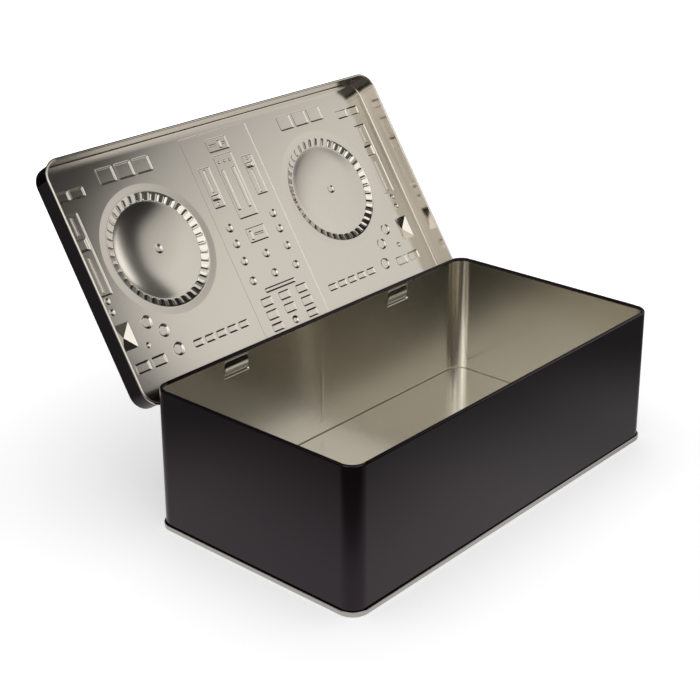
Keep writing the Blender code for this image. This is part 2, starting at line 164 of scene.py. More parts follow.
class TinReliefSizes(bpy.types.PropertyGroup):
    strip: length("Strip depth", "Depth of the middle strip", 0.0004)
    pad: length("Pad depth", "Depth of the pads", 0.0006)
    frame: length("Frame depth", "Depth of the fader frames", 0.0005)
    cap: length("Cap depth", "Depth of the fader caps", 0.0008)
    knob: length("Knob depth", "Depth of the knobs", 0.0006)
    facet: length("Facet depth", "Depth of the faceted studs", 0.0026)
    margin: length("Margin depth", "Depth of the platters' margins", 0.0003)
    platter: length("Platter depth", "Depth of the platters' flanks", 0.002)
    crown: length("Platter crown", "Rise of the dish in a platter", 0.0016)
    draft: amount("Draft", "Sideways run of a pressed wall for each unit of its depth", 2.0)
    flat: length("Flat edge", "Strip beside a pressed wall that stays flat", 0.00012)
    corner: length("Pad corner", "Corner radius of the pads", 0.0009)
    ridge: length("Ridge depth", "Depth of the grooves between the ridges", 0.00045)
    ridge_count: bpy.props.IntProperty(
        name="Ridges", description="Ridges round each platter", default=40, min=3
    )


class TinFinish(bpy.types.PropertyGroup):
    lacquer: colour("Lacquer", "Gloss black outside", (0.0026, 0.0016, 0.0022))
    plate: colour("Tinplate", "Bare tinplate inside the tin", (0.72, 0.695, 0.63))
    lid_plate: colour("Lid tinplate", "Bare tinplate inside the lid", (0.70, 0.66, 0.595))
    seam: colour("Seam tinplate", "Bare tinplate of the bottom seam", (0.50, 0.485, 0.45))
    lacquer_rough: share("Lacquer roughness", "Roughness of the lacquer", 0.06)
    plate_rough: share("Tinplate roughness", "Roughness of the tinplate inside the tin", 0.15)
    lid_rough: share("Lid roughness", "Roughness of the tinplate inside the lid", 0.14)


class TinStudio(bpy.types.PropertyGroup):
    floor: colour("Floor", "Pale floor", (0.90, 0.90, 0.90))
    surround: share("Surround", "Level of the light from all round", 0.30)
    side_card: share("Side card", "Level of the card that the lid mirrors", 0.86)
    front_box: amount("Front softbox", "Level of the softbox in front", 1.35)
    left_card: amount("Left card", "Level of the card behind the camera at the left", 1.55)
    flag: share("Flags", "Level of the dark flags round the lights", 0.02)
    pool: share("Pool", "Glow of the mirrored floor beside the tin", 0.62)
    pool_edge: share("Pool edge", "Share of it that is left away from the tin", 0.25)
    front_shade: share("Front shade", "Level of the mirrored floor in front of the near corner", 0.5)
    right_fade: share("Right fade", "Share of the mirrored floor's glow that is left at the right end", 0.66)
    floor_lift: share("Floor lift", "Glow that keeps the floor white round the tin", 0.5)


def arc(centre, radius, start, end, steps):
    """Points of an arc in a plane, both ends included."""
    turns = [start + (end - start) * k / steps for k in range(steps + 1)]
    return [(centre[0] + radius * math.cos(a), centre[1] + radius * math.sin(a)) for a in turns]


def soft(value, low, high):
    """Smooth step from 0 at the low value to 1 at the high one."""
    t = min(max((value - low) / (high - low), 0), 1)
    return t * t * (3 - 2 * t)


def make_ring(bm, points):
    return [bm.verts.new(p) for p in points]


def loft(bm, low, high):
    """Joins two rings that have the same number of vertices, in the same order."""
    for k in range(len(low)):
        bm.faces.new((low[k - 1], low[k], high[k], high[k - 1]))


CORNER_STEPS = 20
RIM_STEPS = 24
RUN_SHARES = (0.0008, 0.0018, 0.0032, 0.006, 0.012, 0.05, 0.5, 0.95, 0.988, 0.994, 0.9968, 0.9982, 0.9992)
QUARTER = math.pi / 2
CORNER_SIGNS = ((1, 1), (-1, 1), (-1, -1), (1, -1))
CUT_TOLERANCE = 1e-7
SAME_PLACE = 1e-6
FLATNESS_SHARE = 0.1
SHADING_WEIGHT = 80


def rounded_outline(long_side, short_side, radius, offset, centre_y):
    """Points round a rounded rectangle, closer together near the ends of each straight run."""
    reaches = (long_side / 2 - radius, short_side / 2 - radius)
    outline = []
    for k, (sx, sy) in enumerate(CORNER_SIGNS):
        for step in range(CORNER_STEPS + 1):
            a = QUARTER * (k + step / CORNER_STEPS)
            x = sx * reaches[0] + (radius + offset) * math.cos(a)
            y = sy * reaches[1] + (radius + offset) * math.sin(a)
            outline.append(Vector((x, centre_y + y)))
        start = outline[-1]
        a = QUARTER * (k + 1)
        along = Vector((-math.sin(a), math.cos(a))) * 2 * reaches[k % 2]
        outline += [start + along * s for s in RUN_SHARES]
    return outline


def sweep_round(bm, long_side, short_side, radius, centre_y, section, pinch=None):
    """Draws a section round a rounded rectangle; gives its rings in the section's order."""
    rings = []
    for index, (offset, z) in enumerate(section):
        outline = rounded_outline(long_side, short_side, radius, offset, centre_y)
        points = [Vector((x, y, z)) for x, y in outline]
        if pinch:
            pinch(index, points)
        rings.append(make_ring(bm, points))
    for low, high in zip(rings, rings[1:]):
        loft(bm, low, high)
    return rings


def wall_faces(bm, y, half_sheet, z_low, z_high):
    """The faces in the plane of a rear wall between two heights."""
    found = []
    for face in bm.faces:
        if all(abs(v.co.y - y) < half_sheet * FLATNESS_SHARE for v in face.verts):
            middle = face.calc_center_median()
            if z_low < middle.z < z_high:
                found.append(face)
    return found


def cut_openings(bm, wall, spread, half_width, low, high, columns=()):
    """Cuts an opening in a wall on each side of the middle; gives each one's place and top vertices."""
    places = (-spread, spread)
    sides = (-half_width, half_width, *columns)
    cuts = [((0, 0, z), (0, 0, 1)) for z in (low, high)]
    cuts += [((place + side, 0, 0), (1, 0, 0)) for place in places for side in sides]
    for point, normal in cuts:
        geom = list(dict.fromkeys(part for face in wall for part in (face, *face.edges, *face.verts)))
        done = bmesh.ops.bisect_plane(bm, geom=geom, plane_co=point, plane_no=normal, dist=CUT_TOLERANCE)
        wall = [g for g in done["geom"] if isinstance(g, bmesh.types.BMFace)]
    found = []
    gone = []
    for place in places:
        opening = []
        for face in wall:
            middle = face.calc_center_median()
            if abs(middle.x - place) < half_width and low < middle.z < high:
                opening.append(face)
        found.append((place, {v for face in opening for v in face.verts if abs(v.co.z - high) < SAME_PLACE}))
        gone += opening
    bmesh.ops.delete(bm, geom=gone, context="FACES")
    return found


def put_item(name, data):
    item = bpy.data.objects.new(name, data)
    bpy.context.scene.collection.objects.link(item)
    return item


def put_mesh(name, bm, materials):
    mesh = bpy.data.meshes.new(name)
    bm.to_mesh(mesh)
    bm.free()
    for material in materials:
        mesh.materials.append(material)
    return put_item(name, mesh)


def give_gauge(piece, sheet):
    """Thickness with a second finish on the other side of the sheet."""
    gauge = piece.modifiers.new("gauge", "SOLIDIFY")
    gauge.thickness = sheet
    gauge.offset = 0
    gauge.use_even_offset = True
    gauge.use_quality_normals = True
    gauge.material_offset = 1
    gauge.material_offset_rim = 2
    weigh = piece.modifiers.new("even_shading", "WEIGHTED_NORMAL")
    weigh.weight = SHADING_WEIGHT
    weigh.keep_sharp = True
    piece.data.shade_smooth()


def face_up(bm, point, direction):
    """Turns all faces so that the one nearest to a point looks along a direction."""
    bmesh.ops.recalc_face_normals(bm, faces=bm.faces)
    nearest = min(bm.faces, key=lambda face: (face.calc_center_median() - Vector(point)).length)
    if nearest.normal.dot(direction) < 0:
        bmesh.ops.reverse_faces(bm, faces=bm.faces)


GRAIN = "Tinplate grain"
FILM = "Lacquer film"


class Wire:
    """A node's output that is added, subtracted, multiplied and divided as a number is."""

    def __init__(self, socket):
        self.socket = socket

    def math(self, operation, *others):
        node = self.socket.id_data.nodes.new("ShaderNodeMath")
        node.operation = operation
        for slot, value in zip(node.inputs, (self, *others)):
            feed(value, slot)
        return Wire(node.outputs[0])

    def __add__(self, other):
        return self.math("ADD", other)

    def __sub__(self, other):
        return self.math("SUBTRACT", other)

    def __mul__(self, other):
        return self.math("MULTIPLY", other)

    def __truediv__(self, other):
        return self.math("DIVIDE", other)


def feed(value, slot):
    """Links a wire to an input, or sets the input to a plain value."""
    if isinstance(value, Wire):
        slot.id_data.links.new(value.socket, slot)
    else:
        slot.default_value = value


def add_node(tree, kind, **inputs):
    """Adds a node and feeds the inputs that are named."""
    node = tree.nodes.new(kind)
    for name, value in inputs.items():
        feed(value, node.inputs[name])
    return node


def noise(vector, scale, detail, rough):
    tree = vector.socket.id_data
    node = add_node(tree, "ShaderNodeTexNoise", Vector=vector, Scale=scale, Detail=detail, Roughness=rough)
    return Wire(node.outputs["Fac"])


def stretched(vector, scale):
    node = add_node(vector.socket.id_data, "ShaderNodeMapping", Vector=vector, Scale=scale)
    return Wire(node.outputs["Vector"])


def scaled(colour, factor):
    node = factor.socket.id_data.nodes.new("ShaderNodeVectorMath")
    node.operation = "SCALE"
    feed(colour, node.inputs[0])
    feed(factor, node.inputs["Scale"])
    return Wire(node.outputs[0])


def split(vector):
    node = add_node(vector.socket.id_data, "ShaderNodeSeparateXYZ", Vector=vector)
    return [Wire(part) for part in node.outputs]


def distance(x, y):
    return (x * x + y * y).math("SQRT")


def smooth_ramp(value, reach, levels=(0, 1)):
    """Smooth ramp from one level to another over a reach."""
    node = add_node(value.socket.id_data, "ShaderNodeMapRange", Value=value)
    node.interpolation_type = "SMOOTHSTEP"
    for name, setting in zip(("From Min", "From Max", "To Min", "To Max"), (*reach, *levels)):
        node.inputs[name].default_value = setting
    return Wire(node.outputs[0])


SOCKET_KINDS = {"Vector": "NodeSocketVector", "Colour": "NodeSocketColor", "Geometry": "NodeSocketGeometry"}


def make_group(name, kind, inputs, outputs):
    """A node group; gives its tree, its inputs as wires and its outputs' sockets."""
    tree = bpy.data.node_groups.new(name, kind)
    for way, labels in (("INPUT", inputs), ("OUTPUT", outputs)):
        for label in labels:
            socket_kind = SOCKET_KINDS.get(label, "NodeSocketFloat")
            tree.interface.new_socket(name=label, in_out=way, socket_type=socket_kind)
    start = tree.nodes.new("NodeGroupInput")
    end = tree.nodes.new("NodeGroupOutput")
    return tree, {label: Wire(start.outputs[label]) for label in inputs}, end.inputs


GRAIN_INPUTS = ("Vector", "Colour", "Roughness", "Grain", "Cloud", "Wave")
FILM_INPUTS = ("Vector", "Colour", "Roughness")
LOOK_OUTPUTS = ("Colour", "Roughness", "Height")
ROLLED_STRETCH = (240, 1500, 1500)
FILM_STRETCH = (1, 1, 0.6)
# Scale, detail and roughness of each noise.
ROLLED_NOISE = (1, 3, 0.6)
SPECK_NOISE = (1800, 2, 0.6)
CLOUD_NOISE = (34, 4, 0.6)
SHEET_WAVE_NOISE = (9, 1, 0.4)
FILM_WAVE_NOISE = (11, 2, 0.4)
FILM_HAZE_NOISE = (60, 4, 0.6)
ORANGE_PEEL_NOISE = (900, 2, 0.5)
ROLLED_SHARE = 0.6
SPECK_SHARE = 0.4
CLOUD_TONE_SHARE = 0.5
GRAIN_RELIEF_SHARE = 0.004
FILM_TONES = (0.5, 0.75)
FILM_HAZE_ROUGHNESS = 0.05
ORANGE_PEEL_SHARE = 0.002


def grain_group():
    """Fine rolled grain, cloudy handling marks and gentle waves of bare tinplate."""
    tree, given, results = make_group(GRAIN, "ShaderNodeTree", GRAIN_INPUTS, LOOK_OUTPUTS)
    vector = given["Vector"]
    rolled = noise(stretched(vector, ROLLED_STRETCH), *ROLLED_NOISE)
    speck = noise(vector, *SPECK_NOISE)
    both = rolled * ROLLED_SHARE + speck * SPECK_SHARE
    grain = (both * 2 - 1) * given["Grain"]
    cloud = (noise(vector, *CLOUD_NOISE) * 2 - 1) * given["Cloud"]
    feed(scaled(given["Colour"], grain + 1 + cloud * CLOUD_TONE_SHARE), results["Colour"])
    feed(cloud + given["Roughness"] + grain, results["Roughness"])
    wave = noise(vector, *SHEET_WAVE_NOISE)
    feed(wave * given["Wave"] + both * GRAIN_RELIEF_SHARE, results["Height"])
    return tree


def film_group():
    """Faint waves and dust-fine unevenness of a printed lacquer film."""
    tree, given, results = make_group(FILM, "ShaderNodeTree", FILM_INPUTS, LOOK_OUTPUTS)
    vector = given["Vector"]
    wave = noise(stretched(vector, FILM_STRETCH), *FILM_WAVE_NOISE)
    haze = noise(vector, *FILM_HAZE_NOISE)
    peel = noise(vector, *ORANGE_PEEL_NOISE)
    feed(scaled(given["Colour"], haze * FILM_TONES[0] + FILM_TONES[1]), results["Colour"])
    feed(haze * FILM_HAZE_ROUGHNESS + given["Roughness"], results["Roughness"])
    feed(peel * ORANGE_PEEL_SHARE + wave, results["Height"])
    return tree


NODE_GROUPS = {GRAIN: grain_group, FILM: film_group}
SHEET_RELIEF = 0.001
FILM_RELIEF = 0.0002
INSIDE_MARKS = {"Grain": 0.02, "Cloud": 0.012, "Wave": 0.12}
LID_MARKS = {"Grain": 0.025, "Cloud": 0.012, "Wave": 0.12}
SEAM_MARKS = {"Grain": 0.03, "Cloud": 0.02, "Wave": 0.1}
LACQUER_SPECULAR = 0.42
LACQUER_TINT = (1.0, 0.78, 0.90, 1)


def start_material(name):
    """A new material with its node tree and shader."""
    material = bpy.data.materials.new(name)
    material.use_nodes = True
    return material, material.node_tree, material.node_tree.nodes["Principled BSDF"]


def finish_material(name, group, tint, rough, relief, marks, constants):
    """A material whose colour, roughness and relief come from a node group."""
    found = bpy.data.materials.get(name)
    if found:
        return found
    material, tree, shader = start_material(name)
    place = Wire(tree.nodes.new("ShaderNodeTexCoord").outputs["Object"])
    look = tree.nodes.new("ShaderNodeGroup")
    look.node_tree = bpy.data.node_groups.get(group) or NODE_GROUPS[group]()
    values = {"Vector": place, "Colour": (*tint, 1), "Roughness": rough, **marks}
    for key, value in values.items():
        feed(value, look.inputs[key])
    height = Wire(look.outputs["Height"])
    bump = add_node(tree, "ShaderNodeBump", Distance=relief, Strength=1, Height=height)
    feed(Wire(look.outputs["Colour"]), shader.inputs["Base Color"])
    feed(Wire(look.outputs["Roughness"]), shader.inputs["Roughness"])
    feed(Wire(bump.outputs["Normal"]), shader.inputs["Normal"])
    for key, value in constants.items():
        shader.inputs[key].default_value = value
    return material


def tinplate_material(name, tint, rough, marks):
    return finish_material(name, GRAIN, tint, rough, SHEET_RELIEF, marks, {"Metallic": 1})


def inside_material():
    finish = bpy.context.scene.tin_finish
    return tinplate_material("tinplate_inside", finish.plate, finish.plate_rough, INSIDE_MARKS)


def lacquer_material():
    finish = bpy.context.scene.tin_finish
    constants = {"Specular IOR Level": LACQUER_SPECULAR, "Specular Tint": LACQUER_TINT, "Metallic": 0}
    return finish_material(
        "lacquer_film", FILM, finish.lacquer, finish.lacquer_rough, FILM_RELIEF, {}, constants
    )


WALL_ROW_SHARES = (0.004, 0.012, 0.03, 0.5, 0.97, 0.996)
WALL_PATCH_SHARES = (0.03, 0.985)
BEND_STEPS = 8
HOOK_STEPS = 10
LOOP_STEPS = 36
TONGUE_SHARES = (0.3, 0.6, 0.85, 1)
STRAP_COLUMN_SHARES = (-1, -0.97, -0.9, -0.5, 0, 0.5, 0.9, 0.97, 1)
CUT_CORNER_SHARE = 0.1
ROOT_ROOM = 0.0003
PINCH_REACH = 0.004
BAND_GRID = (12, 60)
BAND_ROOM = 0.0035
BAND_END_SHARE = 0.06
BAND_GAUGE = 0.0001
BAND_SINK_SHARE = 0.1
BAND_ROUNDNESS = 4
FLOOR_EDGE = 0.004
SEAM_ROUGHNESS = 0.18


def body_section(body, bottom):
    """Rolled rim, wall, and the hook that the bottom's seam holds."""
    half = body.sheet / 2
    pitch = body.sheet + body.seat_gap
    section = arc((-body.rim, body.height - body.rim), body.rim - half, body.rim_turn, 0, RIM_STEPS)
    foot = arc((-half + pitch / 2, pitch * 3 / 2 + half), pitch / 2, math.pi, 2 * math.pi, HOOK_STEPS)
    top_z = section[-1][1]
    drop = foot[0][1] - top_z
    section += [(-half, top_z + drop * s) for s in WALL_ROW_SHARES]
    return section + foot + [(-half + pitch, bottom.seam_height - pitch)]


def hinge_places(body, hinge):
    """Middle of the rear wall's sheet, radii of a strap's loop and neck, and its rise off the axis."""
    half = body.sheet / 2
    wall_y = body_middle_y + body.width / 2 - half
    loop = bpy.context.scene.tin_lid.bead + hinge.gap + half
    neck = (hinge_y - wall_y - loop * math.cos(hinge.neck)) / (1 + math.cos(hinge.neck))
    return wall_y, loop, neck, (neck + loop) * math.sin(hinge.neck)


def strap_path(hinge, wall_y, loop, neck, rise, root_z):
    """Middle line of a strap from its root: up the wall, out round the lid's bead, back and up."""
    low = (wall_y + neck, hinge_z - rise)
    high = (wall_y + neck, hinge_z + rise)
    path = [(wall_y, root_z)]
    path += arc(low, neck, math.pi, hinge.neck, HOOK_STEPS)
    path += arc((hinge_y, hinge_z), loop, math.pi + hinge.neck, 3 * math.pi - hinge.neck, LOOP_STEPS)[1:]
    path += arc(high, neck, 2 * math.pi - hinge.neck, math.pi, HOOK_STEPS)[1:]
    path += [(wall_y - hinge.lean * s * s, high[1] + hinge.tongue * s) for s in TONGUE_SHARES]
    return path


def cut_corner(s):
    """Share of a cut corner's depth, at a share of the half width."""
    return max(0, abs(s) - 1 + CUT_CORNER_SHARE) / CUT_CORNER_SHARE


def draw_strap(bm, hinge, middle, edges, path):
    """Bends a strap out of the lower edge of its window, its free end a little rounded."""
    lengths = [math.dist(a, b) for a, b in zip(path, path[1:])]
    reach = sum(lengths)
    run = 0
    old_half = hinge.width / 2
    for (y, z), step in zip(path[1:], lengths):
        run += step
        half = hinge.width / 2 - hinge.taper * run / reach
        grown = bmesh.ops.extrude_edge_only(bm, edges=edges)["geom"]
        edges = [g for g in grown if isinstance(g, bmesh.types.BMEdge)]
        verts = {v for e in edges for v in e.verts}
        for vert in verts:
            vert.co = Vector((middle + (vert.co.x - middle) / old_half * half, y, z))
        old_half = half
    for vert in verts:
        vert.co.z -= hinge.corner * cut_corner((vert.co.x - middle) / half)


class TIN_OT_body(bpy.types.Operator):
    """Make the body: rolled rim, wall with its hinge straps and the hook along its foot"""
    bl_idname = "tin.make_body"
    bl_label = "Body"

    def execute(self, context):
        body = context.scene.tin_body
        bottom = context.scene.tin_bottom
        bm = bmesh.new()
        self.draw_wall(bm, body, bottom)
        wall_y = self.draw_straps(bm, body, context.scene.tin_hinge)
        face_up(bm, (0, body_middle_y - body.width / 2, body.height / 2), (0, -1, 0))
        inside = inside_material()
        piece = put_mesh("tin_body", bm, (lacquer_material(), inside, inside))
        give_gauge(piece, body.sheet)
        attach(piece, "tin")
        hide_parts("body_wall")
        self.make_band(body, bottom, wall_y)
        return {"FINISHED"}

    def draw_wall(self, bm, body, bottom):
        """The sheet all round, its rim creased a little where it turns each corner."""
        rim_middle_z = body.height - body.rim
        near_x, near_y = body.length / 2 - body.corner, body.width / 2 - body.corner
        far_x, far_y = body.length / 2 - body.rim, body.width / 2 - body.rim
        creases = []
        for sx, sy in CORNER_SIGNS:
            for x, y in ((near_x, far_y), (far_x, near_y)):
                creases.append((sx * x, body_middle_y + sy * y))

        def pinch(index, points):
            if index > RIM_STEPS:
                return
            for p in points:
                near = min(math.dist(p[:2], crease) for crease in creases)
                if near < PINCH_REACH:
                    dent = math.exp(-((near / body.crease) ** 2))
                    p.z += (rim_middle_z - p.z) * dent * body.pinch / body.rim

        section = body_section(body, bottom)
        sweep_round(bm, body.length, body.width, body.corner, body_middle_y, section, pinch)

    def draw_straps(self, bm, body, hinge):
        """Cuts the windows in the rear wall and bends the straps out of them."""
        wall_y, loop, neck, rise = hinge_places(body, hinge)
        root_z = hinge_z - rise - ROOT_ROOM
        top_z = hinge_z + rise + hinge.tongue + hinge.window
        wall = wall_faces(bm, wall_y, body.sheet / 2, *(body.height * s for s in WALL_PATCH_SHARES))
        half_strap = hinge.width / 2
        half_window = half_strap + hinge.slit
        columns = [half_strap * s for s in STRAP_COLUMN_SHARES]

        def at_root(place, middle):
            off = max(abs(place.z - root_z), abs(place.y - wall_y), abs(place.x - middle) - half_strap)
            return off < SAME_PLACE

        for middle, top in cut_openings(bm, wall, hinge.spread, half_window, root_z, top_z, columns):
            for vert in top:
                across = vert.co.x - middle
                vert.co.x = middle + across * (1 - hinge.taper / half_window)
                vert.co.z -= hinge.corner * cut_corner(across / half_window)
            roots = [edge for edge in bm.edges if all(at_root(v.co, middle) for v in edge.verts)]
            draw_strap(bm, hinge, middle, roots, strap_path(hinge, wall_y, loop, neck, rise, root_z))
        return wall_y

    def make_band(self, body, bottom, wall_y):
        """The lap of the side seam, up the middle of the rear wall inside the tin."""
        bm = bmesh.new()
        bmesh.ops.create_grid(bm, x_segments=BAND_GRID[0], y_segments=BAND_GRID[1], size=0.5)
        low = bottom.floor_height + BAND_ROOM
        high = body.height - 2 * body.rim - BAND_ROOM
        for vert in bm.verts:
            across = vert.co.x
            rise = vert.co.y + 0.5
            ends = soft(rise, 0, BAND_END_SHARE) * soft(1 - rise, 0, BAND_END_SHARE)
            lift = body.seam_proud * (1 - (2 * abs(across)) ** BAND_ROUNDNESS) * ends
            y = wall_y - body.sheet / 2 - lift + body.sheet * BAND_SINK_SHARE
            vert.co = Vector((across * body.seam_band, y, low + (high - low) * rise))
        face_up(bm, (0, wall_y, body.height / 2), (0, -1, 0))
        seam = put_mesh("side_seam_band", bm, (inside_material(),))
        gauge = seam.modifiers.new("gauge", "SOLIDIFY")
        gauge.thickness = BAND_GAUGE
        gauge.offset = -1
        seam.data.shade_smooth()
        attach(seam, "tin")


class TIN_OT_bottom(bpy.types.Operator):
    """Make the bottom: floor panel, the wall that drops inside and the double seam"""
    bl_idname = "tin.make_bottom"
    bl_label = "Bottom"

    def execute(self, context):
        body = context.scene.tin_body
        bottom = context.scene.tin_bottom
        half = body.sheet / 2
        pitch = body.sheet + body.seat_gap
        inner = -pitch - half
        outer = 2 * pitch - half
        floor = bottom.floor_height - half
        top = bottom.seam_height - half
        bend = bottom.floor_bend
        foot = bottom.seam_bend
        lip = bottom.lip_bend
        section = [(inner - bend - FLOOR_EDGE, floor)]
        section += arc((inner - bend, floor - bend), bend, QUARTER, 0, BEND_STEPS)
        section += arc((inner + foot, half + foot), foot, math.pi, 3 * QUARTER, BEND_STEPS)
        section += arc((outer - foot, half + foot), foot, -QUARTER, 0, BEND_STEPS)
        section += arc((outer - lip, top - lip), lip, 0, QUARTER, BEND_STEPS)
        section.append((body.seat_gap, top))
        bm = bmesh.new()
        rings = sweep_round(bm, body.length, body.width, body.corner, body_middle_y, section)
        bmesh.ops.contextual_create(bm, geom=rings[0])
        face_up(bm, (0, body_middle_y, floor), (0, 0, 1))
        for face in bm.faces:
            face.material_index = 0 if face.calc_center_median().z > floor - bend else 1
        ring = tinplate_material("seam_tinplate", context.scene.tin_finish.seam, SEAM_ROUGHNESS, SEAM_MARKS)
        piece = put_mesh("tin_bottom", bm, (inside_material(), ring, ring, ring))
        give_gauge(piece, body.sheet)
        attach(piece, "tin")
        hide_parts("bottom_plate")
        return {"FINISHED"}


# Places and half sizes in the lid's figure, as shares of its size: across from its middle, then along.
PLATTER_PLACE_SHARES = (0.546, 0.070)
PLATTER_MARGIN_SHARE = 0.293
PLATTER_SHOULDER_SHARE = 0.262
PLATTER_OUTER_SHARE = 0.258
PLATTER_INNER_SHARE = 0.222
DISH_EDGE_SHARE = 0.216
SPINDLE_SHARE = 0.020
DECK_PAD_SHARES = (
    (0.444, 0.435, 0.044, 0.035),
    (0.546, 0.435, 0.044, 0.035),
    (0.648, 0.435, 0.044, 0.035),
    (0.823, 0.397, 0.0365, 0.021),
    (0.903, 0.397, 0.0365, 0.021),
    (0.785, -0.369, 0.0365, 0.0215),
    (0.874, -0.369, 0.0365, 0.0215),
)
CUE_PAD_SHARES = (0.291, 0.358, 0.425, 0.492, 0.560)
CUE_ROW_SHARE = -0.362
CUE_PAD_HALF_SHARES = (0.026, 0.016)
PITCH_FRAME_SHARES = (0.901, 0.139, 0.0365, 0.182)
PITCH_CAP_SHARES = (0.901, 0.185, 0.027, 0.027)
PITCH_RAIL_SHARES = ((0.901, 0.050, 0.006, 0.080), (0.901, 0.267, 0.006, 0.042))
DECK_KNOB_SHARES = (
    (0.906, -0.066, 0.0133),
    (0.906, -0.115, 0.0133),
    (0.767, -0.202, 0.028),
    (0.702, -0.260, 0.028),
    (0.808, -0.293, 0.012),
    (0.669, -0.354, 0.0285),
)
FACET_SHARES = (0.894, -0.228, 0.040, 0.056)
FACET_TIP_SHARE = 0.003
STRIP_SHARES = (0, 0.008, 0.2065, 0.485)
CHANNEL_PLACE_SHARE = 0.134
CHANNEL_FRAME_SHARES = (0.248, 0.033, 0.096)
CHANNEL_RAIL_SHARE = 0.006
CHANNEL_CLEAR_SHARE = 0.009
CHANNEL_CAP_SHARES = (0.0236, 0.014)
CHANNEL_CAP_PLACE_SHARES = (0.202, 0.298)
METER_FRAME_SHARES = (0, 0.227, 0.058, 0.154)
METER_SLOT_SHARES = ((-0.033, 0.214, 0.010, 0.099), (0.033, 0.214, 0.010, 0.099))
METER_DOT_SHARES = ((-0.033, 0.348), (0, 0.348), (0.033, 0.348))
METER_DOT_SHARE = 0.007
MASTER_FRAME_SHARES = (0, 0.429, 0.063, 0.0315)
MASTER_RAIL_SHARES = ((-0.026, 0.429, 0.022, 0.005), (0.043, 0.429, 0.012, 0.005))
MASTER_CAP_SHARES = (0.0165, 0.429, 0.009, 0.020)
CROSS_FRAME_SHARES = (0, -0.010, 0.058, 0.035)
CROSS_CAP_SHARES = (-0.0315, -0.010, 0.009, 0.022)
CROSS_RAIL_SHARES = ((0.014, -0.010, 0.030, 0.005),)
STRIP_KNOB_PLACE_SHARES = (-0.138, 0, 0.138)
STRIP_KNOB_ROW_SHARES = ((0.053, (0, 2)), (-0.023, (0, 2)), (-0.107, (0, 1, 2)), (-0.202, (0, 1, 2)))
STRIP_KNOB_SHARE = 0.020
STRIP_BAR_SHARES = (0, -0.264, 0.096, 0.011)
STRIP_PAD_COLUMN_SHARES = (-0.112, 0, 0.112)
STRIP_PAD_ROW_SHARES = ((-0.311, 0.020), (-0.373, 0.0215), (-0.432, 0.018))
STRIP_PAD_HALF_SHARE = 0.033
ROUND_PAD_SHARES = (0, -0.432)
FIGURE_REACH_SHARES = (0.965, 0.499)

# Rows of loops down a pressed wall, as shares of the way, and steps round the outlines.
FACET_ROW_SHARES = (-0.06, -0.03, 0.01, 0.04, 0.3, 0.6, 0.94, 1)
FACET_CORNER_SHARE = 1 / 3
FACET_CORNER_LEAST = 0.00005
FLANK_ROW_SHARES = (
    -0.06, -0.02, 0.02, 0.06, 0.12, 0.2, 0.32, 0.5, 0.68, 0.8, 0.88, 0.94, 0.98, 1.02, 1.06,
)
MARGIN_ROW_SHARES = (
    (-0.04, 0), (0, 0.003), (0.04, 0.04), (0.3, 0.3), (0.65, 0.65), (0.96, 0.96), (1, 0.997), (1.04, 1),
)
DISH_RINGS = 15
DISH_EYE_SHARE = 0.15
KNOB_EASE = 1.5
KNOB_STEPS = 36
DOT_STEPS = 20
MARGIN_STEPS = 160
RIDGE_STEPS = 12
PRESS_STEPS = 6
PAD_CORNER_STEPS = 4
PAD_CORNER_SHARE = 0.8
PAD_CORNER_LEAST = 0.00003
WALL_ROOM_SHARE = 0.85
WALL_OUTSIDE_SHARE = 0.2
FILL_TOLERANCE = 1e-8


